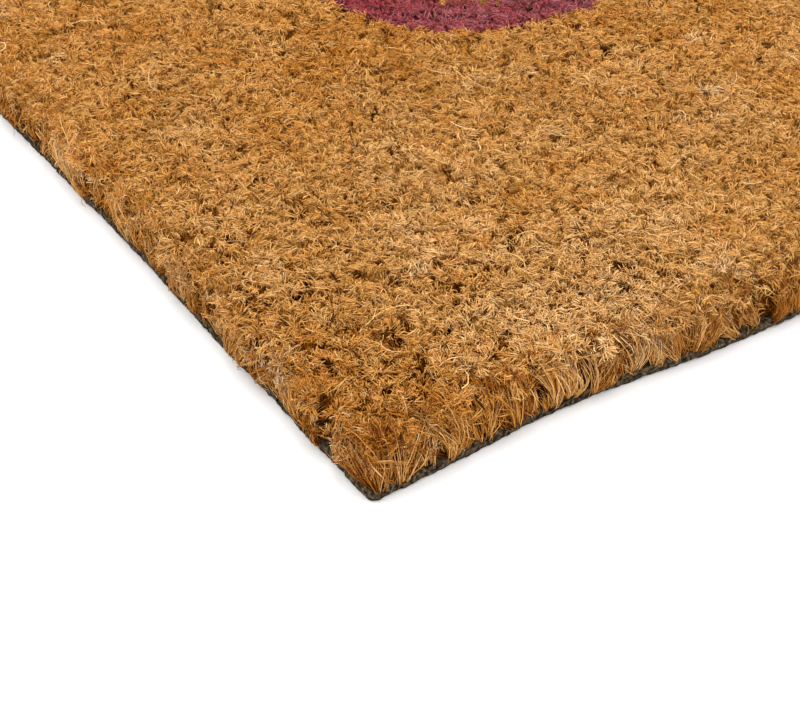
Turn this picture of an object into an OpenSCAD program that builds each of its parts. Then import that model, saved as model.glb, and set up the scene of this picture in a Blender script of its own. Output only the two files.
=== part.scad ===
// Tufted coir door mat: rows of coconut-fibre tufts standing in a PVC backing sheet.
// The tufts along a plain rounded border are dyed. Millimetres, +X along the long side,
// +Y to the back, +Z up, origin at the centre of the underside.

/* [Mat] */
// Length, left to right
mat_length = 600; // [400:10:800]
// Width, front to back
mat_width = 400; // [300:10:440]
// Thickness, from the floor to the top of the pile
mat_thickness = 15; // [10:0.5:25]

/* [Backing] */
// Thickness of the PVC sheet
backing_thickness = 2.5; // [1.5:0.5:4]
// Radius of the sheet's corners, seen from above
backing_corner = 2; // [1:0.5:6]

/* [Tufts] */
// Distance between neighbouring tufts, along a row and from row to row
tuft_pitch = 5; // [4:0.5:8]
// Gap between one tuft and the next
tuft_gap = 0.4; // [0.2:0.1:0.8]
// Radius along the top edges of a row, where the fibres curl over
crown_radius = 1.2; // [0.6:0.1:1.4]

/* [Dyed border] */
// Distance from the mat's left and right edges to the border
border_inset_x = 80; // [60:5:100]
// Distance from the mat's front and back edges to the border
border_inset_y = 110; // [60:5:110]
// Outer radius of the border's corners
border_corner = 40; // [20:5:40]
// Width of the border, counted in tufts
border_tufts = 3; // [2:1:4]

/* [Hidden] */
ROWS_PER_NODE = 2;
NATURAL_COIR = [0.70, 0.46, 0.23];
DYED_COIR = [0.56, 0.29, 0.29];
PVC = [0.36, 0.33, 0.26];
CURVE_FINENESS = 48;

columns = floor(mat_length / tuft_pitch);
row_groups = floor(mat_width / (ROWS_PER_NODE * tuft_pitch));
rows = ROWS_PER_NODE * row_groups;
tuft_w = tuft_pitch - tuft_gap;
pile_height = mat_thickness - backing_thickness;
border_w = border_tufts * tuft_pitch;
border_half_x = mat_length / 2 - border_inset_x;
border_half_y = mat_width / 2 - border_inset_y;

BORDER_SIDES = ["front", "back", "left", "right"];

function rows_name(group) = str("tuft_rows_", group < 10 ? "0" : "", group);
function border_name(side) = str("dyed_border_", side);

// Centre of a tuft, from its column and its row, both counted from 0 at the front left.
function tuft_x(column) = (column + 0.5 - columns / 2) * tuft_pitch;
function tuft_y(row) = (row + 0.5 - rows / 2) * tuft_pitch;

// How far a point lies inside the border's outer outline, a rectangle with round corners.
function border_depth(x, y) =
    let (
        past_x = abs(x) - (border_half_x - border_corner),
        past_y = abs(y) - (border_half_y - border_corner)
    )
    border_corner - norm([max(past_x, 0), max(past_y, 0)]) - min(max(past_x, past_y), 0);

function is_dyed(column, row) =
    let (depth = border_depth(tuft_x(column), tuft_y(row)))
    depth > 0 && depth < border_w;

// A run is a stretch of one row in which every tuft is dyed, or none is.
function starts_run(column, row) =
    column == 0 || is_dyed(column, row) != is_dyed(column - 1, row);
function run_starts(row) = [for (column = [0:columns - 1]) if (starts_run(column, row)) column];
function row_runs(row) =
    let (starts = run_starts(row), last = len(starts) - 1)
    [for (i = [0:last]) [starts[i], i < last ? starts[i + 1] - 1 : columns - 1]];

// The side of the border that a dyed run belongs to: the rows that hold its corners
// are the front and the back, and the rows between them are the left and the right.
function border_side(run, row) =
    abs(tuft_y(row)) > border_half_y - border_corner
        ? (tuft_y(row) < 0 ? "front" : "back")
        : (tuft_x(run[0]) < 0 ? "left" : "right");

module rounded_sheet(length, width, radius) {
    square([length - 2 * radius, width], center = true);
    square([length, width - 2 * radius], center = true);
    for (x = [-1, 1], y = [-1, 1])
        translate([x * (length / 2 - radius), y * (width / 2 - radius)])
            circle(r = radius, $fn = CURVE_FINENESS);
}

module backing_sheet() {
    color(PVC)
        linear_extrude(backing_thickness)
            rounded_sheet(mat_length, mat_width, backing_corner);
}

// Section across a row: upright sides, and a crown rounded along both top edges.
module row_section() {
    crown_centre = tuft_w / 2 - crown_radius;
    translate([-tuft_w / 2, 0])
        square([tuft_w, pile_height - crown_radius]);
    translate([-crown_centre, 0])
        square([2 * crown_centre, pile_height]);
    for (side = [-1, 1])
        translate([side * crown_centre, pile_height - crown_radius])
            circle(r = crown_radius, $fn = CURVE_FINENESS);
}

module tuft_run(run, row) {
    run_length = tuft_x(run[1]) - tuft_x(run[0]) + tuft_w;
    translate([tuft_x(run[0]) - tuft_w / 2, tuft_y(row), backing_thickness])
        rotate([90, 0, 90])
            linear_extrude(run_length)
                row_section();
}

module natural_rows(group) {
    first_row = ROWS_PER_NODE * (group - 1);
    color(NATURAL_COIR)
        for (row = [first_row:first_row + ROWS_PER_NODE - 1], run = row_runs(row))
            if (!is_dyed(run[0], row)) tuft_run(run, row);
}

module dyed_border(side) {
    color(DYED_COIR)
        for (row = [0:rows - 1], run = row_runs(row))
            if (is_dyed(run[0], row) && border_side(run, row) == side) tuft_run(run, row);
}

backing_sheet();
for (group = [1:row_groups])
    natural_rows(group);
for (side = BORDER_SIDES)
    dyed_border(side);
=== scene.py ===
"""Coir door mat: separate coconut fibres, tuft by tuft, standing in a PVC backing sheet."""

import math

import bpy
import numpy as np
from mathutils import Euler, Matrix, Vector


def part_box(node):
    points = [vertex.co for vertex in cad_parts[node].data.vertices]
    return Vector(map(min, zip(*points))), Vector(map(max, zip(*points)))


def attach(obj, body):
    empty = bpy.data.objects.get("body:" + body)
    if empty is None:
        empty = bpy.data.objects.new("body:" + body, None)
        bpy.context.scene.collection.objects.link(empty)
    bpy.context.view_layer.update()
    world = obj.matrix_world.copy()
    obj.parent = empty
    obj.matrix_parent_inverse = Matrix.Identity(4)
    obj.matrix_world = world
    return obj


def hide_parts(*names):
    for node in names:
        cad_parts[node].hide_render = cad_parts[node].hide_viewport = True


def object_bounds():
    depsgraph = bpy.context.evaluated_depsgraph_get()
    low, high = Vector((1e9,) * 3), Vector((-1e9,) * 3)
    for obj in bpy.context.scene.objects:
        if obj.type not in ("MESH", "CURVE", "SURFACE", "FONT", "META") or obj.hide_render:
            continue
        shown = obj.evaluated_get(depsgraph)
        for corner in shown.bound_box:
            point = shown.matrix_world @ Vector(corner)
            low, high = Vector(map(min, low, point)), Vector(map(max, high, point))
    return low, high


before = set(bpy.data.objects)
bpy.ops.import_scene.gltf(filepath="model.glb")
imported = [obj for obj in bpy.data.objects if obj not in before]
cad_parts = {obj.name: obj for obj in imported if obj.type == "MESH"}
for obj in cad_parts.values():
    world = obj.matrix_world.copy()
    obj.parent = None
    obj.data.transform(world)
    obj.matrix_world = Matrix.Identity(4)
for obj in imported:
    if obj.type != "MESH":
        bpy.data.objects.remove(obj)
CAD_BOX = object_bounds()

# -------- the mat, measured from the frame

MM = 0.001
HALF_X, HALF_Y, PILE_TOP = CAD_BOX[1]
SHEET_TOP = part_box("backing_sheet")[1].z

ROW_NODES = sorted(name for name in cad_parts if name.startswith("tuft_rows_"))
ROWS_PER_NODE = 2
ROWS = ROWS_PER_NODE * len(ROW_NODES)
PITCH = 2 * HALF_Y / ROWS
COLUMNS = round(2 * HALF_X / PITCH)
GAP = ROWS_PER_NODE * PITCH - (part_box(ROW_NODES[0])[1].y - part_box(ROW_NODES[0])[0].y)

BORDER_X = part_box("dyed_border_right")[1].x + GAP / 2
BORDER_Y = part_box("dyed_border_back")[1].y + GAP / 2
BORDER_W = BORDER_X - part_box("dyed_border_right")[0].x + GAP / 2
BORDER_CORNER = BORDER_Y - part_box("dyed_border_back")[0].y + GAP / 2

# The close-up looks down at the near corner, the front left one, from this side and this high.
VIEW_AZIMUTH = math.radians(-33.1)
VIEW_PITCH = math.radians(37.6)

# -------- random draws

# Each part of the mat draws from its own seed, and pieces of one sort count up from it.
TUFT_SEED = 11
RIM_SEED = 12
PILE_SEED = 100
DYED_PILE_SEED = 200
RIM_PIECE_SEED = 250
ROOT_SEED = 300
LOOSE_FIBRE_SEED = 400

# -------- colours

# Coir is a saturated brown where it is dark and straw where it is bleached. A tint gives, for its
# darkest and its palest level, how bright it is and how much green and blue go with the red.
# Each fibre takes one tint, and each stretch of it one level of that tint.
COIR_TINTS = {
    "golden": ((0.20, 0.27, 0.030), (0.76, 0.67, 0.33)),
    "orange": ((0.20, 0.23, 0.012), (0.76, 0.58, 0.24)),
    "umber": ((0.13, 0.27, 0.040), (0.66, 0.68, 0.39)),
}
DYE_TINTS = {
    "maroon": ((0.25, 0.13, 0.170), (0.43, 0.25, 0.30)),
    "rose": ((0.27, 0.28, 0.340), (0.41, 0.42, 0.48)),
}
COIR_LEVELS = 6
DYE_LEVELS = 4
# How the levels run from dark to pale: below 1, only the lowest are dark; above 1, only the
# highest are pale. Blue comes up late, so only the bleached levels look like straw.
BRIGHTNESS_CURVE = 0.7
STRAW_CURVE = 2
# The loose fibres' own shades.
STRAW_SHADES = ((0.64, 0.42, 0.17), (0.70, 0.48, 0.23))
ROUGHNESS = 0.6
# Dark fibres are dull, and pale ones shine a little.
SPECULAR = (0.0, 0.25)


def between(start, end, share):
    """The value that lies a share of the way from start to end."""
    return start + (end - start) * share


def principled(name, colour, roughness, specular):
    """A material with one constant colour, which is what a single fibre shows at its size."""
    material = bpy.data.materials.new(name)
    material.use_nodes = True
    shader = material.node_tree.nodes["Principled BSDF"]
    shader.inputs["Base Color"].default_value = (*colour, 1.0)
    shader.inputs["Roughness"].default_value = roughness
    shader.inputs["Specular IOR Level"].default_value = specular
    material.diffuse_color = (*colour, 1.0)
    return material


# The grain of the rough materials: how fine and how detailed the noise is that drives the colour,
# the roughness and the bumps, where on the noise the colours lie, the range of the roughness, and
# the bumps' strength and depth.
PACKED_FIBRE_GRAIN = {
    "speckle": (1900, 4), "stops": (0.36, 0.50, 0.66), "gloss": (700, 3), "roughness": (0.7, 0.95),
    "relief": (2200, 5), "strength": 1.0, "depth": 0.3 * MM,
}
PVC_GRAIN = {
    "speckle": (1300, 4), "stops": (0.38, 0.54, 0.72), "gloss": (450, 3), "roughness": (0.5, 0.95),
    "relief": (2600, 5), "strength": 0.9, "depth": 0.25 * MM,
}


def mottled(name, shades, grain):
    """A rough speckled material, in three shades from dark to pale."""
    smoothest, roughest = grain["roughness"]
    material = principled(name, shades[1], roughest, SPECULAR[0])
    nodes, links = material.node_tree.nodes, material.node_tree.links
    shader = nodes["Principled BSDF"]
    place = nodes.new("ShaderNodeTexCoord").outputs["Object"]

    def noise(scale, detail):
        node = nodes.new("ShaderNodeTexNoise")
        node.inputs["Scale"].default_value = scale
        node.inputs["Detail"].default_value = detail
        links.new(place, node.inputs["Vector"])
        return node.outputs["Fac"]

    ramp = nodes.new("ShaderNodeValToRGB")
    links.new(noise(*grain["speckle"]), ramp.inputs["Fac"])
    stops = ramp.color_ramp.elements
    stops[0].position, middle, stops[1].position = grain["stops"]
    stops.new(middle)
    for stop, colour in zip(stops, shades):
        stop.color = (*colour, 1)
    links.new(ramp.outputs["Color"], shader.inputs["Base Color"])

    span = nodes.new("ShaderNodeMapRange")
    span.inputs["To Min"].default_value = smoothest
    span.inputs["To Max"].default_value = roughest
    links.new(noise(*grain["gloss"]), span.inputs["Value"])
    links.new(span.outputs["Result"], shader.inputs["Roughness"])

    bump = nodes.new("ShaderNodeBump")
    bump.inputs["Strength"].default_value = grain["strength"]
    bump.inputs["Distance"].default_value = grain["depth"]
    links.new(noise(*grain["relief"]), bump.inputs["Height"])
    links.new(bump.outputs["Normal"], shader.inputs["Normal"])
    return material


def tint_ladder(prefix, tints, levels):
    """One material per tint and level, the levels of a tint side by side."""
    ladder = []
    for tint, (darkest, palest) in tints.items():
        for level in range(levels):
            pale = level / (levels - 1)
            red = between(darkest[0], palest[0], pale**BRIGHTNESS_CURVE)
            green = between(darkest[1], palest[1], pale)
            blue = between(darkest[2], palest[2], pale**STRAW_CURVE)
            specular = between(*SPECULAR, pale**STRAW_CURVE)
            colour = (red, red * green, red * blue)
            ladder.append(principled(f"{prefix}_{tint}_{level}", colour, ROUGHNESS, specular))
    return ladder


COIR = tint_ladder("coir", COIR_TINTS, COIR_LEVELS)
DYED = tint_ladder("dyed", DYE_TINTS, DYE_LEVELS)
FIBRE_MATERIALS = COIR + DYED


def coir_index(tint, level):
    """Number of a coir shade among the fibre materials, from its tint and its nearest level."""
    return tint * COIR_LEVELS + np.clip(np.round(level), 0, COIR_LEVELS - 1).astype(int)


def dye_index(tint, level):
    """Number of a dyed shade among the fibre materials, from its tint and its nearest level."""
    return len(COIR) + tint * DYE_LEVELS + np.clip(np.round(level), 0, DYE_LEVELS - 1).astype(int)


# -------- random fields

# A field repeats after this many patches.
LATTICE = 64


def eased(share):
    """Runs from 0 to 1 as share does, without a kink at either end."""
    return share * share * (3 - 2 * share)


def patches(x, y, cell, seed):
    """Smooth random field from -1 to 1 over the mat, in patches about as wide as cell."""
    lattice = np.random.default_rng(seed).uniform(-1, 1, (LATTICE, LATTICE))
    column, row = (x + HALF_X) / cell, (y + HALF_Y) / cell
    c0, r0 = np.floor(column).astype(int), np.floor(row).astype(int)
    u, v = eased(column - c0), eased(row - r0)

    def corner(dr, dc):
        return lattice[(r0 + dr) % LATTICE, (c0 + dc) % LATTICE]

    near = corner(0, 0) * (1 - u) + corner(0, 1) * u
    far = corner(1, 0) * (1 - u) + corner(1, 1) * u
    return near * (1 - v) + far * v


def wave(x, y, size, cell, seed):
    """A random field that strays by up to size."""
    return size * patches(x, y, cell, seed)


def border_depth(x, y):
    """How far a point lies inside the outer outline of the dyed border."""
    past_x = np.abs(x) - (BORDER_X - BORDER_CORNER)
    past_y = np.abs(y) - (BORDER_Y - BORDER_CORNER)
    outside = np.hypot(np.maximum(past_x, 0), np.maximum(past_y, 0))
    return BORDER_CORNER - outside - np.minimum(np.maximum(past_x, past_y), 0)


# How far the dye reaches past the border's outline on average, and how that wanders: the size, the
# length and the seed of its long waves and of its short ones.
DYE_MEAN = 1.2 * MM
DYE_LONG_WAVE = (1.5 * MM, 14 * MM, 1301)
DYE_SHORT_WAVE = (0.5 * MM, 6 * MM, 9)


def dye_creep(x, y):
    """How far the dye reaches out past the border's outline."""
    return DYE_MEAN + wave(x, y, *DYE_LONG_WAVE) + wave(x, y, *DYE_SHORT_WAVE)


def in_border(x, y, waver=0.0):
    """Whether a point lies in the dyed border, with its outline moved out by waver."""
    depth = border_depth(x, y) + waver
    return (depth > 0) & (depth < BORDER_W)


# -------- tufts

# Fibres are most and thinnest in the part of the mat that the close-up shows, which reaches this
# far from the near corner along the view and to each side of it. Elsewhere they are fewer, and
# thicker by up to COARSEN times their thickness.
CLOSE_REACH = 166 * MM
CLOSE_HALF_WIDTH = 100 * MM
CLOSE_FADE = 30 * MM
COARSEN = 1.15


class Strands:
    """Tufts, locks or fibres: a set of arrays with one entry for each of them."""

    def __init__(self, **arrays):
        vars(self).update(arrays)

    def __len__(self):
        return len(self.x)

    def pick(self, chosen):
        return Strands(**{name: values[chosen] for name, values in vars(self).items()})

    def each(self, count):
        """Every entry repeated count times: a tuft's locks, or a lock's fibres."""
        return self.pick(np.repeat(np.arange(len(self)), count))

    def with_others(self, others):
        mine, theirs = vars(self), vars(others)
        return Strands(**{name: np.concatenate([mine[name], theirs[name]]) for name in mine})


def fineness(x, y):
    """1 in the part that the close-up shows, falling to 0 around it."""
    right, back = x + HALF_X, y + HALF_Y
    ahead = -right * math.sin(VIEW_AZIMUTH) + back * math.cos(VIEW_AZIMUTH)
    aside = right * math.cos(VIEW_AZIMUTH) + back * math.sin(VIEW_AZIMUTH)
    outside = np.maximum(ahead - CLOSE_REACH, np.abs(aside) - CLOSE_HALF_WIDTH)
    return 1 - eased(np.clip(outside / CLOSE_FADE, 0, 1))


# The pile is uneven: broad waves, and lumps about two tufts across, with their size, length and seed.
PILE_DROP = 0.3 * MM
PILE_WAVE = (0.50 * MM, 30 * MM, 1)
PILE_LUMP = (0.45 * MM, 8 * MM, 2)


def surface(x, y):
    """Height of the pile."""
    return PILE_TOP - PILE_DROP + wave(x, y, *PILE_WAVE) + wave(x, y, *PILE_LUMP)


# Tufts stand apart at the corners, and less and less so up to this far from them.
LOOSE_REACH = 150 * MM


def looseness(x, y):
    """1 at the mat's corners, where the tufts stand apart, falling to 0 where they are packed."""
    from_corner = np.hypot(HALF_X - np.abs(x), HALF_Y - np.abs(y))
    return np.clip(1 - from_corner / LOOSE_REACH, 0, 1)


# The cut edge's stray from straight, its wavelength and its seed: at the ends and along the sides.
END_CUT = (2.0 * MM, 45 * MM, 5418)
SIDE_CUT = (2.7 * MM, 45 * MM, 509)
# How far in from the edge the tufts follow its line.
CUT_DEPTH = 30 * MM


def cut_line(x, y):
    """How far the mat's edge strays from straight near a point, because it is cut by hand."""
    near_x = np.clip(1 - (HALF_X - np.abs(x)) / CUT_DEPTH, 0, 1)
    near_y = np.clip(1 - (HALF_Y - np.abs(y)) / CUT_DEPTH, 0, 1)
    return (near_x * wave(x * 0 - HALF_X, y, *END_CUT),
            near_y * wave(x, y * 0 - HALF_Y, *SIDE_CUT))


# How each tuft differs from the next. A "stray" is a normal spread, and a "wave" or "lump" is the
# size, the length and the seed of a random field.
PLACE_STRAY = 0.5 * MM
HEIGHT_STRAY = 0.18 * MM
LEAN_STRAY = 0.15
LEAN_X_WAVE = (0.25, 22 * MM, 3)
LEAN_Y_WAVE = (0.25, 22 * MM, 4)
# Levels count the palette's steps from dark to pale.
LEVEL_STRAY = 0.2
LEVEL_WAVE = (0.4, 60 * MM, 5)
LEVEL_LUMP = (0.5, 11 * MM, 6)
# Warmth decides between the orange, golden and umber tints.
WARMTH_WAVE = (0.6, 24 * MM, 7)
WARMTH_LUMP = (0.6, 8 * MM, 8)
# Dyed tufts are matted down, and the shears caught those on the edge, by this much on average.
DYED_DROP = 0.6 * MM
SHORN = 0.7 * MM
# Some tufts are bleached, which makes them paler and less warm.
BLEACHED_SHARE = 0.02
BLEACHED_LEVEL = 0.7
BLEACHED_WARMTH = 0.6
# Near a corner the worn tufts are paler, but those right at the corner are dark.
WORN_LEVEL, WORN_FALL = 1.6, 2
CORNER_LEVEL, CORNER_FALL = 4.0, 6


def all_tufts():
    """Every tuft of the mat, row by row from the front left."""
    row, column = np.divmod(np.arange(ROWS * COLUMNS), COLUMNS)
    x = (column + 0.5 - COLUMNS / 2) * PITCH
    y = (row + 0.5 - ROWS / 2) * PITCH
    rng = np.random.default_rng(TUFT_SEED)

    def own(size):
        return rng.normal(0, size, len(x))

    dyed = in_border(x, y)
    out_x = np.where(np.abs(x) > HALF_X - PITCH, np.sign(x), 0.0)
    out_y = np.where(np.abs(y) > HALF_Y - PITCH, np.sign(y), 0.0)
    shorn = rng.exponential(SHORN, len(x)) * ((out_x != 0) | (out_y != 0))
    bleached = rng.random(len(x)) < BLEACHED_SHARE
    loose = looseness(x, y)
    stray_x, stray_y = cut_line(x, y)
    return Strands(
        row=row,
        dyed=dyed,
        side=border_side(x, y),
        # 1 or -1 on an outermost column or row, else 0.
        out_x=out_x,
        out_y=out_y,
        height=surface(x, y) + own(HEIGHT_STRAY) * (1 + loose) - DYED_DROP * dyed - shorn,
        lean_x=wave(x, y, *LEAN_X_WAVE) + own(LEAN_STRAY),
        lean_y=wave(x, y, *LEAN_Y_WAVE) + own(LEAN_STRAY),
        # The way that the tuft's fibres turn round it.
        swirl=rng.choice([-1.0, 1.0], len(x)),
        level=(wave(x, y, *LEVEL_WAVE) + wave(x, y, *LEVEL_LUMP) + own(LEVEL_STRAY)
               + WORN_LEVEL * loose**WORN_FALL - CORNER_LEVEL * loose**CORNER_FALL
               + BLEACHED_LEVEL * bleached),
        warmth=wave(x, y, *WARMTH_WAVE) + wave(x, y, *WARMTH_LUMP) - BLEACHED_WARMTH * bleached,
        fine=fineness(x, y),
        loose=loose,
        x=x + own(PLACE_STRAY) + stray_x,
        y=y + own(PLACE_STRAY) + stray_y,
    )


def border_side(x, y):
    """Side of the dyed border that a tuft here belongs to, as the CAD nodes divide it."""
    across = np.abs(y) > BORDER_Y - BORDER_CORNER
    return np.where(across, np.where(y < 0, "front", "back"), np.where(x < 0, "left", "right"))


# The rim is painted a little darker than the top, as shade on the mat's sides, and is less warm. Near
# the corners it takes little part in what the top's worn and dark tufts do there, so these terms undo
# most of that.
RIM_SIDE_SHADE = -0.4
RIM_LEVEL_STRAY = 0.4
RIM_WORN_LEVEL = 1.5
RIM_CORNER_LEVEL = 3.0
RIM_WARMTH = -0.4
RIM_CORNER_WARMTH = 1.1


def rim(tufts):
    """The outermost tufts, once for each side of the mat that they stand on.

    out points out of that side, and other out of the next side, on a corner tuft. sway and twist
    are how far each tuft leans and bows along the side, next to the others.
    """
    on_x, on_y = tufts.pick(tufts.out_x != 0), tufts.pick(tufts.out_y != 0)
    on_x.out, on_x.other = stack(on_x.out_x, 0), stack(0, on_x.out_y)
    on_y.out, on_y.other = stack(0, on_y.out_y), stack(on_y.out_x, 0)
    edge = on_x.with_others(on_y)
    edge.sway, edge.twist, own = np.random.default_rng(RIM_SEED).normal(size=(3, len(edge)))
    # The sides are painted a little darker than the top, as shade.
    edge.level = (edge.level + RIM_LEVEL_STRAY * own + RIM_SIDE_SHADE
                  - RIM_WORN_LEVEL * edge.loose**WORN_FALL + RIM_CORNER_LEVEL * edge.loose**CORNER_FALL)
    edge.warmth = edge.warmth + RIM_WARMTH - RIM_CORNER_WARMTH * edge.loose**WORN_FALL
    return edge


# -------- fibres

# Fibres grow in locks, and a lock's fibres run about parallel. Each kind of lock has:
#   locks     how many stand on a tuft
#   fibres    how many fibres a lock has, in the coarse part and in the fine part
#   spread    how far the fibres stand from the lock's middle, and fan, how they open out from it
#   stray     how far a fibre's direction strays, and tousle, the direction that it bends in
#   length    the usual length and how it varies, and turn, how far the fibre bends, in radians
#   kink      how crooked a fibre is, and radius, how thick
#   stations  where along a fibre, from 0 to 1, its tube has a ring or a point
#   level     its middle's place on the palette, rise, how much paler its tip and darker its root are
#             painted, as light on top and shade down in the pile, and varied, how fibres differ, where
#             tufts are packed and where they are loose
# Locks on top of the tufts also have:
#   up        how steeply they rise, splay, how they lean out of their tuft, and wild, any way
#   swirl     how their bend follows the tuft's turn, and sag, how they bend down
#   sink      how far under the surface a fibre ends, and gap_shade, how much darker a tuft's rim is
#             painted, as shade in the gaps between tufts, with its middle painted paler
UPRIGHT = {
    "locks": 7, "fibres": (1.3, 8.0), "spread": 0.42 * MM, "fan": 0.12, "stray": 0.12, "tousle": 0.5,
    "length": (3.3 * MM, 0.15), "turn": (0.2, 1.0), "kink": 0.05 * MM, "radius": 0.088 * MM,
    "stations": (0, 0.86, 1), "level": 2.4, "rise": 0.4, "varied": (0.10, 0.60),
    "up": 1.0, "splay": 0.22, "wild": 0.18, "swirl": 0.6, "sag": 0.0, "sink": 0.42 * MM, "gap_shade": 0.3,
}
CURLING = {
    "locks": 7, "fibres": (0.9, 6.0), "spread": 0.34 * MM, "fan": 0.10, "stray": 0.15, "tousle": 0.5,
    "length": (2.9 * MM, 0.25), "turn": (1.1, 2.6), "kink": 0.07 * MM, "radius": 0.085 * MM,
    "stations": (0, 0.40, 0.80, 1), "level": 2.7, "rise": 0.2, "varied": (0.10, 0.60),
    "up": 1.0, "splay": 0.25, "wild": 0.45, "swirl": 1.0, "sag": 0.4, "sink": 0.32 * MM, "gap_shade": 0.3,
}
TANGLED = {
    "locks": 9, "fibres": (0.7, 7.0), "spread": 0.30 * MM, "fan": 0.10, "stray": 0.22, "tousle": 0.5,
    "length": (2.1 * MM, 0.38), "turn": (0.6, 2.4), "kink": 0.08 * MM, "radius": 0.080 * MM,
    "stations": (0, 0.28, 0.74, 1), "level": 2.9, "rise": 0.1, "varied": (0.10, 0.60),
    "up": 0.45, "splay": 0.10, "wild": 1.0, "swirl": 0.0, "sag": 0.4, "sink": 0.32 * MM, "gap_shade": 0.3,
}
CROWN_KINDS = (UPRIGHT, CURLING, TANGLED)
# Long locks on the mat's sides. Here tilt is how far they lean out where they leave the backing,
# in radians, sway how they lean along the side, twist how they bow along it, each with its mean and
# its spread, cut the share that is cut short, and drop how far down the backing's edge they start.
FRONT_LOCK = {
    "locks": 11, "fibres": (2.0, 13.0), "spread": 0.34 * MM, "fan": 0.09, "stray": 0.09, "tousle": 0.22,
    "turn": (1.0, 2.0), "tilt": (0.40, 1.05), "sway": (0.08, 0.30), "twist": (-0.2, 0.4), "cut": 0.35,
    "kink": 0.06 * MM, "radius": 0.078 * MM, "stations": (0, 0.14, 0.36, 0.60, 0.84, 1),
    "level": 2.8, "rise": 0.9, "varied": (0.45, 0.65), "drop": (0.2 * MM, 1.3 * MM),
}
END_LOCK = dict(FRONT_LOCK, locks=5, sway=(-0.15, 0.35), twist=(0.0, 0.8), cut=0.80, level=3.3,
                drop=(0.1 * MM, 0.5 * MM))
# Short curls and cut ends between and over those locks. Here climb is how steeply they rise.
FRONT_CURL = {
    "locks": 14, "fibres": (0.9, 6.5), "spread": 0.28 * MM, "fan": 0.12, "stray": 0.25, "tousle": 0.5,
    "length": (2.6 * MM, 0.42), "turn": (0.7, 2.9), "sway": (0.0, 0.55), "kink": 0.08 * MM,
    "radius": 0.082 * MM, "stations": (0, 0.30, 0.75, 1), "level": 2.7, "rise": 0.2,
    "varied": (0.45, 0.65), "climb": (-0.3, 1.2),
}
END_CURL = dict(FRONT_CURL, locks=24, turn=(1.0, 3.2), level=3.5, varied=(0.6, 0.8), climb=(0.2, 1.4))
SIDE_KINDS = {
    "front": (FRONT_LOCK, FRONT_CURL), "back": (FRONT_LOCK, FRONT_CURL),
    "left": (END_LOCK, END_CURL), "right": (END_LOCK, END_CURL),
}
# How much lower a tuft is at its rim than in its middle, where tufts are packed and where loose.
DOME = (0.30 * MM, 0.95 * MM)
# How far a tuft's locks spread out, in pitches, in the fine part and in the coarse part.
CROWN_SPREAD = (0.54, 0.64)
# The outermost tufts round over towards the mat's sides: how far their surface falls, and how much
# more their locks lean.
ROUND_OVER = 2.6 * MM
ROUND_LEAN = 0.5
# How locks of one tuft differ in height and in level.
LOCK_HEIGHT_STRAY = 0.20 * MM
LOCK_LEVEL_STRAY = 0.22
# How much of a kind's sink fibres have, where tufts are packed and where they are loose.
SINK_SHARE = (0.55, 1.0)
# How one lock's fibres differ from its usual length, bend and thickness.
LENGTH_RANGE = (0.75, 1.2)
TURN_RANGE = (0.8, 1.2)
RADIUS_SPREAD = 0.2


def unit(vectors):
    return vectors / np.linalg.norm(vectors, axis=-1, keepdims=True)


def stack(*columns):
    """Vectors from their coordinates, each of which is one number or an array."""
    return np.stack(np.broadcast_arrays(*columns), axis=-1).astype(float)


def compass(turns):
    """Level unit vectors in the given directions, counted in whole turns."""
    return stack(np.cos(turns * math.tau), np.sin(turns * math.tau))


def raised(level_vectors, height):
    """Level vectors with a height added to each."""
    return stack(level_vectors[:, 0], level_vectors[:, 1], height)


def arcs(start, ahead, across, length, turn, stations):
    """Points along circular arcs that leave start along ahead and turn towards across."""
    angle = turn[:, None] * np.asarray(stations)
    radius = (length / turn)[:, None]
    along = (radius * np.sin(angle))[..., None] * ahead[:, None]
    aside = (radius * (1 - np.cos(angle)))[..., None] * across[:, None]
    return start[:, None] + along + aside


def fibres_of(locks, kind, rng):
    """The fibres of each lock, as points along them, with their radius."""
    few, many = kind["fibres"]
    count = few + (many - few) * locks.fine + rng.random(len(locks))
    f = locks.each(np.floor(count).astype(int))
    n = len(f)
    offset = rng.normal(0, kind["spread"], (n, 3))
    aim = unit(f.aim + kind["fan"] * offset / MM + rng.normal(0, kind["stray"], (n, 3)))
    across = f.across + rng.normal(0, kind["tousle"], (n, 3))
    across = unit(across - aim * np.sum(across * aim, axis=1, keepdims=True))
    length = f.length * rng.uniform(*LENGTH_RANGE, n)
    turn = f.turn * rng.uniform(*TURN_RANGE, n)
    points = arcs(f.start + offset, aim, across, length, turn, kind["stations"])
    points[:, 1:] += rng.normal(0, kind["kink"], points[:, 1:].shape)
    coarse = 1 + COARSEN * (1 - f.fine)
    return f, points, kind["radius"] * coarse * rng.lognormal(0, RADIUS_SPREAD, n)


def lengths(kind, count, rng):
    usual, spread = kind["length"]
    return usual * rng.lognormal(0, spread, count)


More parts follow.
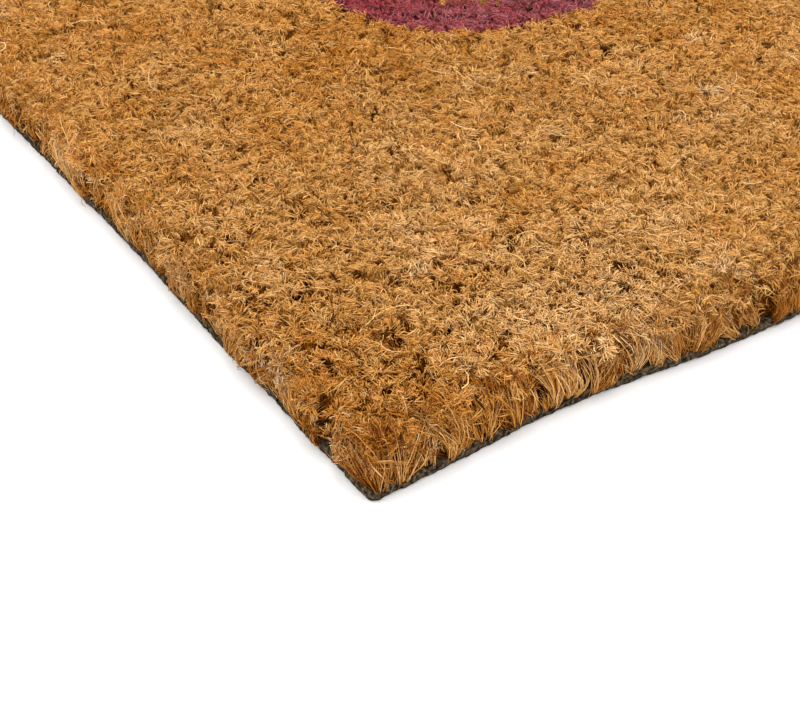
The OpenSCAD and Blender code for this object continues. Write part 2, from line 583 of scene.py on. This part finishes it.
def crown_fibres(tufts, kind, rng):
    """Fibres that show on top of the tufts: upright ones, curling ones and small tangled ones."""
    locks = tufts.each(kind["locks"])
    n = len(locks)
    rho, theta = np.sqrt(rng.random(n)), rng.random(n)
    ring = rho[:, None] * compass(theta)
    spread = between(*CROWN_SPREAD, 1 - locks.fine)
    locks.start = raised(stack(locks.x, locks.y) + PITCH * spread[:, None] * ring, PILE_TOP)
    out = stack(locks.out_x, locks.out_y)
    outward = np.maximum(np.sum(ring * out, axis=1), 0)
    fall = between(*DOME, locks.loose) * rho**2 + ROUND_OVER * outward**2
    locks.surface = locks.height - fall + rng.normal(0, LOCK_HEIGHT_STRAY, n)
    tilt = stack(locks.lean_x, locks.lean_y) + kind["splay"] * ring + kind["wild"] * compass(rng.random(n))
    locks.aim = unit(raised(tilt + ROUND_LEAN * outward[:, None] * out, kind["up"]))
    heading = theta + locks.swirl * rng.normal(kind["swirl"], 1.0, n) / math.tau
    locks.across = unit(raised(compass(heading), -kind["sag"]))
    locks.length = lengths(kind, n, rng)
    locks.turn = rng.uniform(*kind["turn"], n)
    # Locks near a tuft's rim are painted darker, as shade in the gaps between tufts, and those in its
    # middle paler, as light on its top.
    locks.level = locks.level + kind["gap_shade"] * (0.5 - rho**2) + rng.normal(0, LOCK_LEVEL_STRAY, n)
    f, points, radius = fibres_of(locks, kind, rng)
    # Each fibre's highest point lies at the tuft's surface or a little under it.
    top = f.surface - rng.exponential(kind["sink"], len(f)) * between(*SINK_SHARE, f.loose)
    points[..., 2] += (top - points[..., 2].max(axis=1))[:, None]
    return f, points, radius


UPWARD = np.array((0.0, 0.0, 1.0))
# Rim fibres stay this far above the floor, and this close to the mat's side.
FLOOR_CLEARANCE = 0.3 * MM
SIDE_REACH = 1.4 * MM
# How far the way out turns towards the next side, on the outer half of a corner tuft.
CORNER_TURN = 0.8


def rim_places(tufts, count, inside, along):
    """Locks on the mat's sides: each one's foot, the way out of the mat there, and the way along.

    inside is how far in from the cut edge a foot lies, and along where it lies between one end
    of its tuft's place, -0.5, and the other, 0.5.
    """
    locks = tufts.each(count)
    side = stack(-locks.out[:, 1], locks.out[:, 0])
    # Round a corner, the way out turns towards the next side.
    past = np.maximum(2 * along * np.sum(side * locks.other, axis=1), 0)
    out = unit(locks.out + CORNER_TURN * past[:, None] * locks.other)
    foot = stack(locks.x, locks.y) + along[:, None] * PITCH * side
    foot = foot + locks.out * (PITCH / 2 - inside)[:, None]
    return locks, foot, out, side


def partly_shared(shared, mean_and_spread, share, rng):
    """A random number per lock, most of which it has in common with its tuft's other locks."""
    mean, spread = mean_and_spread
    own = rng.normal(size=len(shared))
    return mean + spread * (share * shared + math.sqrt(1 - share**2) * own)


# Where long locks leave the backing: how far they spread along their tuft, in pitches, in the fine
# part and in the coarse part, and how many millimetres in from the edge they stand.
LOCK_SPREAD = (0.13, 0.25)
LOCK_INSIDE = (0.3, 3.0)
# The share of a cut lock that is missing, and how much further such a lock leans out.
CUT_SHARE = (0.15, 0.80)
CUT_LEAN = 0.6
# How much of their sway and twist a tuft's long locks have in common, and how they fan out.
LOCK_TOGETHER = 0.9
LOCK_FAN = 1.5
# How far under the tuft's top the locks end, and how much of that height they reach.
LOCK_HEADROOM = 0.8 * MM
LOCK_REACH = (0.75, 1.0)
# Locks turn on past upright by the kind's turn less this.
TURN_BACK = 0.2
# A lock's level at the edge, what it loses for each millimetre in from there and by being cut, and
# how it varies. What it loses further in is painted shade: fibres behind are darker than those in front.
LOCK_LEVEL = 1.3
LOCK_SHADE_PER_MM_INSIDE = 1.4
LOCK_LEVEL_CUT = 0.7
LONG_LOCK_LEVEL_STRAY = 0.4


def rim_locks(tufts, kind, rng):
    """Long locks up the mat's sides, which lean out of the backing, bow, and bend back over the top."""
    n = kind["locks"] * len(tufts)
    spread = between(*LOCK_SPREAD, 1 - np.repeat(tufts.fine, kind["locks"]))
    along = np.clip(rng.normal(0, 1, n) * spread, -0.5, 0.5)
    inside = rng.uniform(*LOCK_INSIDE, n)
    locks, foot, out, side = rim_places(tufts, kind["locks"], inside * MM, along)
    foot_z = SHEET_TOP - rng.uniform(*kind["drop"], n)
    locks.start = raised(foot, foot_z)
    # Many were cut short when the pile was sheared, and these bow out further over the backing.
    cut = np.where(rng.random(n) < kind["cut"], rng.uniform(*CUT_SHARE, n), 0.0)
    tilt = rng.uniform(*kind["tilt"], n) + CUT_LEAN * cut
    out, side = raised(out, 0), raised(side, 0)
    # A tuft is narrow where it leaves the backing and opens upwards.
    sway = partly_shared(locks.sway, kind["sway"], LOCK_TOGETHER, rng) + LOCK_FAN * along
    locks.aim = unit(out * np.sin(tilt)[:, None] + UPWARD * np.cos(tilt)[:, None] + side * sway[:, None])
    twist = partly_shared(locks.twist, kind["twist"], LOCK_TOGETHER, rng)
    bend = UPWARD * np.sin(tilt)[:, None] - out * np.cos(tilt)[:, None]
    locks.across = unit(bend + side * twist[:, None])
    locks.turn = tilt + rng.uniform(*kind["turn"], n) - TURN_BACK
    rise = (locks.height - foot_z - LOCK_HEADROOM) * (1 - cut) * rng.uniform(*LOCK_REACH, n)
    # The arc is as long as it takes to rise that far.
    rise_per_radius = np.sin(tilt) + np.sin(np.minimum(locks.turn - tilt, math.pi / 2))
    locks.length = rise * locks.turn / rise_per_radius
    # Locks further in from the edge are painted darker, as the shade behind the fibres in front.
    locks.level = (locks.level + LOCK_LEVEL - LOCK_SHADE_PER_MM_INSIDE * inside - LOCK_LEVEL_CUT * cut
                   + rng.normal(0, LONG_LOCK_LEVEL_STRAY, n))
    return kept_close(*fibres_of(locks, kind, rng))


# Curls sit lower on the side more often than higher, by this power, and up to this far under the top.
CURL_LOW = 1.2
CURL_HEADROOM = 1.5 * MM
# The side bulges in the middle, starts further in at its foot, and falls back above the last of
# these, which is a share of its height. The others are in millimetres.
BULGE = 1.2
BULGE_INSIDE = 0.5
BULGE_FALL_BACK = 2.0
BULGE_END = 0.7
# How far curls spread along their tuft, in pitches, at its foot and at its top.
CURL_SPREAD = (0.15, 0.32)
# How much of their sway a tuft's curls have in common, how far they point in or out of the mat, and
# how much they bend back into it.
CURL_TOGETHER = 0.6
CURL_OUT = (-0.4, 0.4)
CURL_BACK = 0.5
# What a curl's level loses at the foot of the side, as painted shade near the backing, and how it
# varies.
CURL_SHADE_FOOT = 0.6
CURL_LEVEL_STRAY = 0.6


def rim_curls(tufts, kind, rng):
    """Short cut ends and curls all over the mat's sides."""
    n = kind["locks"] * len(tufts)
    up = rng.random(n) ** CURL_LOW
    bulge = BULGE * np.sin(math.pi * up) - BULGE_INSIDE - BULGE_FALL_BACK * np.maximum(up - BULGE_END, 0)
    inside = rng.uniform(0, 1.0, n) - bulge
    along = np.clip(rng.normal(0, between(*CURL_SPREAD, up), n), -0.5, 0.5)
    locks, foot, out, side = rim_places(tufts, kind["locks"], inside * MM, along)
    locks.start = raised(foot, between(SHEET_TOP, PILE_TOP - CURL_HEADROOM, up))
    sway = partly_shared(locks.sway, kind["sway"], CURL_TOGETHER, rng)
    level_aim = out * rng.uniform(*CURL_OUT, n)[:, None] + side * sway[:, None]
    locks.aim = unit(raised(level_aim, rng.uniform(*kind["climb"], n)))
    locks.across = unit(rng.normal(size=(n, 3)) - CURL_BACK * raised(out, 0))
    locks.length = lengths(kind, n, rng)
    locks.turn = rng.uniform(*kind["turn"], n)
    # Curls further in and lower down the side are painted darker, as shade in the side and near the
    # backing.
    locks.level = (locks.level - inside - CURL_SHADE_FOOT * (1 - up) ** 2
                   + rng.normal(0, CURL_LEVEL_STRAY, n))
    return kept_close(*fibres_of(locks, kind, rng))


def kept_close(fibres, points, radius):
    """The fibres that end near the mat's side, lifted where they would touch the floor."""
    points[..., 2] += np.maximum(FLOOR_CLEARANCE - points[..., 2].min(axis=1), 0)[:, None]
    from_tuft = points[..., :2] - stack(fibres.x, fibres.y)[:, None]
    past_edge = np.sum(from_tuft * fibres.out[:, None], axis=2).max(axis=1) - PITCH / 2
    close = past_edge < SIDE_REACH
    return fibres.pick(close), points[close], radius[close]


TUBE_SIDES = 3


def skin(points, radius, rng):
    """Closed tubes along rows of points, pointed at both ends.

    Returns the vertices, the triangles and, for each triangle, its stretch of the fibre.
    """
    fibres, stations = points.shape[:2]
    rings = stations - 2
    along = unit(points[:, 2:] - points[:, :-2])
    side = unit(np.cross(along, unit(rng.normal(size=(fibres, 1, 3)))))
    other = np.cross(along, side)
    angle = np.arange(TUBE_SIDES)[:, None] * math.tau / TUBE_SIDES
    ring = side[:, :, None] * np.cos(angle) + other[:, :, None] * np.sin(angle)
    ring = points[:, 1:-1, None] + ring * radius[:, None, None, None]
    ring = ring.reshape(fibres, rings * TUBE_SIDES, 3)
    verts = np.concatenate([points[:, :1], ring, points[:, -1:]], axis=1)
    tris, stretch = spindle(TUBE_SIDES, rings)
    return verts.reshape(-1, 3), repeated(tris, fibres, verts.shape[1]), np.tile(stretch, (fibres, 1))


def spindle(sides, rings):
    """Triangles of one closed tube from point to point, through rings of vertices.

    The first vertex is one point and the last the other. Each triangle also gets its stretch of
    the tube: 0 from the first point to the first ring, 1 from there to the next, and so on.
    """
    tris, stretch = [], []
    tip = 1 + rings * sides
    for k in range(sides):
        nxt = (k + 1) % sides
        tris.append((0, 1 + nxt, 1 + k))
        stretch.append(0)
        for r in range(rings - 1):
            low, high = 1 + sides * r, 1 + sides * (r + 1)
            tris += [(low + k, low + nxt, high + nxt), (low + k, high + nxt, high + k)]
            stretch += [r + 1, r + 1]
        tris.append((tip, tip - sides + k, tip - sides + nxt))
        stretch.append(rings)
    return np.array(tris), stretch


def repeated(tris, count, vertices):
    """The triangles of count equal solids, each of which has so many vertices."""
    return (tris[None] + vertices * np.arange(count)[:, None, None]).reshape(-1, 3)


# How the warmth of one tuft's fibres varies, and where on that scale umber ends and orange starts.
MOOD_STRAY = 0.45
UMBER_END = -0.95
ORANGE_START = 0.8
GOLDEN, ORANGE, UMBER = range(len(COIR_TINTS))


def tint_of(fibres, rng):
    """Tint number of each fibre: orange in warm patches, umber in cold ones, golden between."""
    mood = fibres.warmth + rng.normal(0, MOOD_STRAY, len(fibres))
    return np.where(mood > ORANGE_START, ORANGE, np.where(mood < UMBER_END, UMBER, GOLDEN))


# How unevenly one tuft's fibres took the dye, and how far down from the top it goes.
DYE_STRAY = 0.3 * MM
DYE_DEPTH = 6 * MM
# The share of rose fibres on average, and how it wanders.
ROSE_SHARE = 0.25
ROSE_WAVE = (0.6, 7 * MM, 10)
# Dyed fibres' usual level on their own scale, and how much of coir's variety, painted shade and light
# included, they keep.
DYED_LEVEL = 1.4
DYED_VARIETY = 0.3


def shade(fibres, points, kind, rng):
    """Material of each stretch of each fibre, from its tint, its place, the painted shade towards its root
    and light at its tip, and the border's dye.
    """
    count, stations = points.shape[:2]
    middle = 0.5 * (points[:, 1:] + points[:, :-1])
    own = (rng.normal(0, 1, count) * between(*kind["varied"], fibres.loose))[:, None]
    # Each fibre is painted darker towards its root and paler towards its tip, as shade down in the pile
    # and light at its top.
    root_shade_tip_light = kind["rise"] * np.linspace(-1, 1, stations - 1)
    level = kind["level"] + fibres.level[:, None] + root_shade_tip_light
    natural = coir_index(tint_of(fibres, rng)[:, None], level + own)

    # The dye creeps past its tufts here and stops short of their edge there.
    waver = dye_creep(fibres.x, fibres.y) + rng.normal(0, DYE_STRAY, count)
    rose = rng.random(count) < ROSE_SHARE + wave(fibres.x, fibres.y, *ROSE_WAVE)
    dye_level = DYED_LEVEL + DYED_VARIETY * (level + own - kind["level"])
    tinted = dye_index(rose.astype(int)[:, None], dye_level)
    dyed = in_border(middle[..., 0], middle[..., 1], waver[:, None])
    dyed &= middle[..., 2] > PILE_TOP - DYE_DEPTH
    return np.where(dyed, tinted, natural)


# -------- pieces

def add_mesh(name, verts, tris, face_material, materials):
    """A smooth-shaded piece in the scene, which rides on the mat's one body."""
    mesh = bpy.data.meshes.new(name)
    mesh.vertices.add(len(verts))
    mesh.vertices.foreach_set("co", verts.astype(np.float32).ravel())
    mesh.loops.add(tris.size)
    mesh.loops.foreach_set("vertex_index", tris.astype(np.int32).ravel())
    mesh.polygons.add(len(tris))
    mesh.polygons.foreach_set("loop_start", np.arange(0, tris.size, 3, dtype=np.int32))
    mesh.polygons.foreach_set("material_index", face_material.astype(np.int32).ravel())
    mesh.polygons.foreach_set("use_smooth", np.ones(len(tris), bool))
    mesh.update(calc_edges=True)
    for material in materials:
        mesh.materials.append(material)
    piece = bpy.data.objects.new(name, mesh)
    bpy.context.scene.collection.objects.link(piece)
    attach(piece, "root")
    return piece


def join(parts):
    """One set of arrays from several of (verts, tris, face_material)."""
    verts, tris, face_material, first = [], [], [], 0
    for v, t, m in parts:
        verts.append(v)
        tris.append(t + first)
        face_material.append(m)
        first += len(v)
    return np.concatenate(verts), np.concatenate(tris), np.concatenate(face_material)


def grown(grow, tufts, kind, rng):
    """The finished tubes of one kind of fibre, with a material for each face."""
    f, points, radius = grow(tufts, kind, rng)
    verts, tris, stretch = skin(points, radius, rng)
    shades = shade(f, points, kind, rng)
    return verts, tris, np.take_along_axis(shades, stretch, axis=1).ravel()


def pile_piece(node, tufts, seed):
    """The tops of the tufts that one CAD node stands for."""
    rng = np.random.default_rng(seed)
    parts = [grown(crown_fibres, tufts, kind, rng) for kind in CROWN_KINDS]
    piece = add_mesh(node + ".pile", *join(parts), FIBRE_MATERIALS)
    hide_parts(node)


def rim_piece(side, tufts, seed):
    """The fibres that show on one side of the mat."""
    rng = np.random.default_rng(seed)
    lock, curl = SIDE_KINDS[side]
    parts = [grown(rim_locks, tufts, lock, rng), grown(rim_curls, tufts, curl, rng)]
    piece = add_mesh("rim_fibres_" + side, *join(parts), FIBRE_MATERIALS)


BUNDLE_SIDES = 5
# For each ring of a bundle: how far up it lies and how much of its place it fills, in the close-up's
# part, and how much these grow elsewhere, where the bundles close the gaps between fewer fibres.
BUNDLE_RINGS = ((0.0, 0.36, 0.0, 0.0), (0.75, 0.48, 0.18, 0.26))
# How far under the pile's surface a bundle ends: in the coarse part, in the fine part, how much
# deeper that gets where tufts are loose, and how much less deep it is under dyed tufts.
BELOW = (1.2 * MM, 0.7 * MM)
BELOW_LOOSE = 1.3 * MM
BELOW_DYED = -0.2 * MM
# How far in from the rim an outermost bundle is moved, in the coarse part and in the fine part, and
# how much thinner it is.
PULLED_IN = (1.4 * MM, 2.2 * MM)
RIM_THINNING = 0.3
# How uneven a bundle's corners are, in distance from its middle and in height.
CORNER_RANGE = (0.85, 1.1)
CORNER_HEIGHT_STRAY = 0.15 * MM
# The bundles stand this deep in the sheet, with their lowest point deeper still.
BUNDLE_FOOT = 0.5 * MM
BUNDLE_POINT = 0.2 * MM
# Shades from dark to pale. Where tufts are loose, and on the outermost tufts, the bundles are painted
# dark, as the shade in the hollows between the tufts. Elsewhere they fill the pile between the fibres,
# and in the coarse part they are painted darker, as the shade under its fewer fibres.
PIT_SHADOW_TONES = ((0.060, 0.014, 0.001), (0.180, 0.052, 0.004), (0.360, 0.135, 0.014))
PACKED_SHADES = ((0.340, 0.110, 0.008), (0.560, 0.275, 0.048), (0.720, 0.450, 0.150))
COARSE_SHADOW_TONES = ((0.100, 0.038, 0.005), (0.270, 0.118, 0.022), (0.480, 0.250, 0.070))
DYED_SHADES = ((0.140, 0.024, 0.029), (0.260, 0.060, 0.069), (0.370, 0.110, 0.120))


def outermost(tufts):
    """1 for a tuft in an outermost row or column, else 0."""
    return np.maximum(np.abs(tufts.out_x), np.abs(tufts.out_y))


def bundles(tufts, rng):
    """Closed many-sided bundles, one per tuft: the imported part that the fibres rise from."""
    n = len(tufts)
    angle = np.arange(BUNDLE_SIDES) * math.tau / BUNDLE_SIDES
    foot_z = SHEET_TOP - BUNDLE_FOOT
    deeper = (BELOW_LOOSE * tufts.loose + BELOW_DYED * tufts.dyed) * tufts.fine
    height = tufts.height - foot_z - between(*BELOW, tufts.fine) - deeper
    pulled_in = between(*PULLED_IN, tufts.fine)
    x, y = tufts.x - pulled_in * tufts.out_x, tufts.y - pulled_in * tufts.out_y
    rings = []
    for level, fullness, rise, swell in BUNDLE_RINGS:
        level = level + rise * (1 - tufts.fine)
        fullness = (fullness + swell * (1 - tufts.fine)) * (1 - RIM_THINNING * outermost(tufts))
        radius = PITCH * fullness[:, None] * rng.uniform(*CORNER_RANGE, (n, BUNDLE_SIDES))
        corner_x = (x + tufts.lean_x * height * level)[:, None] + radius * np.cos(angle)
        corner_y = (y + tufts.lean_y * height * level)[:, None] + radius * np.sin(angle)
        corner_z = (foot_z + height * level)[:, None]
        corner_z = corner_z + rng.normal(0, CORNER_HEIGHT_STRAY, (n, BUNDLE_SIDES))
        rings.append(stack(corner_x, corner_y, corner_z))
    foot = stack(x, y, foot_z - BUNDLE_POINT)[:, None]
    crown = stack(x + tufts.lean_x * height, y + tufts.lean_y * height, foot_z + height)[:, None]
    verts = np.concatenate([foot, *rings, crown], axis=1)
    tris, _ = spindle(BUNDLE_SIDES, len(rings))
    return verts.reshape(-1, 3), repeated(tris, n, verts.shape[1])


# The share of bundles painted dark, as the shade of hollows, grows with looseness, at this rate and
# from this start.
PIT_SHADOW_RATE = 2.5
PIT_SHADOW_START = -0.9


def add_roots(tufts):
    """The tufts' packed lower parts, in one piece for each of their colours, two of which are painted
    shade.
    """
    rng = np.random.default_rng(ROOT_SEED)
    # Bundles of loose and outermost tufts are painted dark as shade in hollows, and coarse ones as shade
    # under few fibres.
    pit_shadow_share = np.clip(PIT_SHADOW_RATE * tufts.loose + PIT_SHADOW_START + outermost(tufts), 0, 1)
    pit_shadows = rng.random(len(tufts)) < tufts.fine * pit_shadow_share
    coarse = ~pit_shadows & (tufts.fine < rng.random(len(tufts)))
    for name, mine, shades, slot in (
            ("tuft_roots_pit_shadow", pit_shadows & ~tufts.dyed, PIT_SHADOW_TONES, "coir_natural"),
            ("tuft_roots_packed", ~pit_shadows & ~coarse & ~tufts.dyed, PACKED_SHADES, "coir_natural"),
            ("tuft_roots_coarse_shadow", coarse & ~tufts.dyed, COARSE_SHADOW_TONES, "coir_natural"),
            ("tuft_roots_dyed", tufts.dyed, DYED_SHADES, "coir_dyed")):
        material = mottled(name, shades, PACKED_FIBRE_GRAIN)
        verts, tris = bundles(tufts.pick(mine), rng)
        roots = add_mesh(name, verts, tris, np.zeros(len(tris)), [material])


LOOSE_COUNT = 1800
LOOSE_RADIUS = 0.082 * MM
LOOSE_STATIONS = (0, 0.04, 0.27, 0.5, 0.73, 0.96, 1)
# Their usual length in millimetres, how it varies, and the longest.
LOOSE_LENGTH = (4.2, 0.5)
LOOSE_LONGEST = 12
# How steeply they rise, how far their bend strays from level, and how far it turns, in radians.
LOOSE_CLIMB = (-0.1, 0.25)
LOOSE_TIP_STRAY = 0.2
LOOSE_TURN = (0.3, 2.4)
# How many millimetres under the pile's surface they start, and how crooked they are.
LOOSE_DEPTH = (0.1, 0.6)
LOOSE_KINK = 0.08 * MM


def add_loose_fibres():
    """Pale strands that have worked loose and lie on top of the pile."""
    rng = np.random.default_rng(LOOSE_FIBRE_SEED)
    n = LOOSE_COUNT
    x = rng.uniform(-1, 1, n) * (HALF_X - PITCH)
    y = rng.uniform(-1, 1, n) * (HALF_Y - PITCH)
    undyed = ~in_border(x, y, PITCH) & ~in_border(x, y, -PITCH)
    x, y, n = x[undyed], y[undyed], np.count_nonzero(undyed)
    heading = rng.random(n)
    usual, variety = LOOSE_LENGTH
    length = np.minimum(rng.lognormal(math.log(usual), variety, n), LOOSE_LONGEST) * MM
    aim = unit(raised(compass(heading), rng.uniform(*LOOSE_CLIMB, n)))
    # They bend to their left or their right, a quarter turn from their heading.
    sideways = compass(heading + 0.25 * rng.choice([-1, 1], n))
    across = unit(raised(sideways, rng.normal(0, LOOSE_TIP_STRAY, n)))
    start = stack(x, y, surface(x, y) - rng.uniform(*LOOSE_DEPTH, n) * MM)
    points = arcs(start, aim, across, length, rng.uniform(*LOOSE_TURN, n), LOOSE_STATIONS)
    points[:, 1:] += rng.normal(0, LOOSE_KINK, points[:, 1:].shape)
    verts, tris, _ = skin(points, LOOSE_RADIUS * rng.lognormal(0, RADIUS_SPREAD, n), rng)
    materials = [principled(f"straw_{number}", colour, ROUGHNESS, SPECULAR[0])
                 for number, colour in enumerate(STRAW_SHADES)]
    which = np.repeat(rng.integers(0, len(materials), n), len(tris) // n)
    strands = add_mesh("loose_fibres", verts, tris, which, materials)


def add_pile():
    """All the pieces of the pile, which draw on the same tufts."""
    tufts = all_tufts()
    for number, node in enumerate(ROW_NODES):
        mine = (tufts.row // ROWS_PER_NODE == number) & ~tufts.dyed
        pile_piece(node, tufts.pick(mine), PILE_SEED + number)
    for number, side in enumerate(("front", "back", "left", "right")):
        mine = tufts.dyed & (tufts.side == side)
        pile_piece("dyed_border_" + side, tufts.pick(mine), DYED_PILE_SEED + number)
    edge = rim(tufts)
    sides = {
        "front": edge.out[:, 1] < 0,
        "back": edge.out[:, 1] > 0,
        "left": edge.out[:, 0] < 0,
        "right": edge.out[:, 0] > 0,
    }
    for number, (side, mine) in enumerate(sides.items()):
        rim_piece(side, edge.pick(mine), RIM_PIECE_SEED + number)
    add_roots(tufts)
    add_loose_fibres()


# -------- backing

# The sheet's corner radius, how far apart the points round its edge are, and how many a corner has.
SHEET_CORNER = 2.0 * MM
OUTLINE_SPACING = 0.55 * MM
CORNER_POINTS = 5
# In the order in which the outline passes them.
CORNERS = ((1, -1), (1, 1), (-1, 1), (-1, -1))


def sheet_outline(radius, spacing):
    """Points and outward normals round the sheet's edge, with rounded corners."""
    points, normals = [], []
    quarter = math.pi / 2
    for turn, (side_x, side_y) in enumerate(CORNERS):
        centre = np.array((side_x * (HALF_X - radius), side_y * (HALF_Y - radius)))
        angles = -quarter + turn * quarter + np.linspace(0, quarter, CORNER_POINTS)
        outward = np.stack([np.cos(angles), np.sin(angles)], axis=1)
        arc = centre + radius * outward
        if points:
            points.append(straight(points[-1][-1], arc[0], spacing))
            normals.append(np.repeat(outward[:1], len(points[-1]), axis=0))
        points.append(arc)
        normals.append(outward)
    points.append(straight(points[-1][-1], points[0][0], spacing))
    normals.append(np.repeat([[0.0, -1.0]], len(points[-1]), axis=0))
    return np.concatenate(points), np.concatenate(normals)


def straight(start, end, spacing):
    """Evenly spaced points between two ends, without the ends."""
    steps = max(int(np.linalg.norm(end - start) / spacing), 2)
    return start + (end - start) * np.linspace(0, 1, steps + 1)[1:-1, None]


# Section of the cut edge, from the underside up: how far in it lies and how high, in millimetres
# of a sheet 2.5 mm thick. A shallow groove near the floor stays in shadow.
SECTION_THICKNESS = 2.5 * MM
EDGE_SECTION = ((1.40, 0.03), (0.50, 0.0), (0.36, 0.12), (0.40, 0.34), (0.04, 0.58), (0.0, 0.95),
                (0.08, 1.35), (0.02, 1.75), (0.10, 2.10), (0.26, 2.38), (0.64, 2.5), (1.40, 2.5))
# The flat faces' rings between the edge and the middle, as shares of the way out.
INWARD_STEPS = (0.90, 0.45)
# The underside lies this far above the floor.
UNDERSIDE = 0.03 * MM
# How ragged the cut is, in millimetres, and the length of each wave. Nicks and grain are different
# at each height, and one wave runs through the whole thickness. EDGE_LIFT moves each height itself.
EDGE_NICKS = (0.24, 2.8 * MM)
EDGE_GRAIN = (0.20, 1.1 * MM)
EDGE_WAVE = (0.20, 12 * MM)
EDGE_LIFT = (0.10 * MM, 1.5 * MM)
EDGE_SEED = 30
SEEDS_PER_RING = 3
# How far in from its line the cut lies on average, and the furthest out that it may lie.
EDGE_INSET = 0.2
EDGE_OUTERMOST = -0.2
PVC_SHADES = ((0.012, 0.008, 0.004), (0.060, 0.042, 0.026), (0.170, 0.125, 0.078))


def edge_ring(number, outline, normals):
    """One ring of points round the roughly cut edge."""
    x, y = outline.T
    inset, height = EDGE_SECTION[number]
    seed = EDGE_SEED + SEEDS_PER_RING * number
    ragged = wave(x, y, *EDGE_NICKS, seed) + wave(x, y, *EDGE_GRAIN, seed + 1)
    ragged += wave(x, y, *EDGE_WAVE, EDGE_SEED)
    cut = np.maximum(inset + EDGE_INSET + ragged, EDGE_OUTERMOST) * MM
    ring = outline + stack(*cut_line(x, y)) - normals * cut[:, None]
    z = height * MM * SHEET_TOP / SECTION_THICKNESS
    # The rings where the flat faces start are level.
    if 0 < number < len(EDGE_SECTION) - 1:
        z = z + wave(x, y, *EDGE_LIFT, seed + 2)
    return stack(ring[:, 0], ring[:, 1], np.maximum(z, 0.0))


def add_backing():
    """The PVC sheet: its roughly cut edge, and the flat faces that close it."""
    outline, normals = sheet_outline(SHEET_CORNER, OUTLINE_SPACING)
    count = len(outline)
    rings = [edge_ring(number, outline, normals) for number in range(len(EDGE_SECTION))]
    under = [stack(*(rings[0][:, :2] * k).T, UNDERSIDE) for k in INWARD_STEPS]
    over = [stack(*(rings[-1][:, :2] * k).T, SHEET_TOP) for k in INWARD_STEPS]
    rings = under[::-1] + rings + over
    verts = np.concatenate([*rings, [[0, 0, UNDERSIDE], [0, 0, SHEET_TOP]]])
    here = np.arange(count)
    after = (here + 1) % count
    tris = []
    for r in range(len(rings) - 1):
        low, high = r * count, (r + 1) * count
        tris.append(np.stack([low + here, low + after, high + after], axis=1))
        tris.append(np.stack([low + here, high + after, high + here], axis=1))
    last = (len(rings) - 1) * count
    bottom_centre, top_centre = len(verts) - 2, len(verts) - 1
    tris.append(np.stack([np.full(count, bottom_centre), after, here], axis=1))
    tris.append(np.stack([np.full(count, top_centre), last + here, last + after], axis=1))
    tris = np.concatenate(tris)
    material = mottled("pvc_backing", PVC_SHADES, PVC_GRAIN)
    backing = add_mesh("backing", verts, tris, np.zeros(len(tris)), [material])
    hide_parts("backing_sheet")


# -------- scene

# The floor's size in metres, and how far it lies under the mat.
FLOOR_SIZE = 8
FLOOR_DROP = 0.2 * MM
FLOOR_WHITE = (0.92, 0.92, 0.92)
FLOOR_ROUGHNESS = 0.8


def add_floor():
    """A plain pale floor under the mat, which isn't part of it."""
    bpy.ops.mesh.primitive_plane_add(size=FLOOR_SIZE, location=(0, 0, -FLOOR_DROP))
    floor = bpy.context.object
    floor.name = "floor"
    floor.data.materials.append(principled("floor_white", FLOOR_WHITE, FLOOR_ROUGHNESS, 0.0))


# The studio: even white light from all round, and a soft lamp above the mat's far right. Its place
# and its size are in metres, its energy in watts and its tilt in degrees.
STUDIO_WHITE = (1.0, 1.0, 1.0, 1.0)
STUDIO_STRENGTH = 1.92
LAMP_SIZE = (1.2, 0.8)
LAMP_ENERGY = 13
LAMP_PLACE = (0.35, 0.45, 1.1)
LAMP_TILT = (-25, 22, 0)


def add_lights():
    """The studio's light."""
    world = bpy.data.worlds.new("studio")
    bpy.context.scene.world = world
    world.use_nodes = True
    background = world.node_tree.nodes["Background"]
    background.inputs["Color"].default_value = STUDIO_WHITE
    background.inputs["Strength"].default_value = STUDIO_STRENGTH
    lamp = bpy.data.lights.new("softbox", "AREA")
    lamp.shape = "RECTANGLE"
    lamp.size, lamp.size_y = LAMP_SIZE
    lamp.energy = LAMP_ENERGY
    softbox = bpy.data.objects.new("softbox", lamp)
    softbox.location = LAMP_PLACE
    softbox.rotation_euler = Euler([math.radians(degrees) for degrees in LAMP_TILT])
    bpy.context.scene.collection.objects.link(softbox)
    bpy.context.scene.view_settings.view_transform = "Standard"


# The camera's place, counted from the near corner at floor level, and its lens and film width in
# the camera's own millimetres.
CAMERA_PLACE = (-181.75 * MM, -287.34 * MM, 296.0 * MM)
CAMERA_LENS = 108.6
CAMERA_FILM = 36
CAMERA_NEAREST = 10 * MM


def add_camera():
    """Looks down at the near corner from the front left."""
    camera = bpy.data.cameras.new("camera")
    camera.lens = CAMERA_LENS
    camera.sensor_width = CAMERA_FILM
    camera.clip_start = CAMERA_NEAREST
    rig = bpy.data.objects.new("camera", camera)
    right, back, above = CAMERA_PLACE
    rig.location = (-HALF_X + right, -HALF_Y + back, above)
    rig.rotation_euler = Euler((math.pi / 2 - VIEW_PITCH, 0, VIEW_AZIMUTH))
    bpy.context.scene.collection.objects.link(rig)
    bpy.context.scene.camera = rig


add_camera()
add_lights()
add_floor()
add_backing()
add_pile()
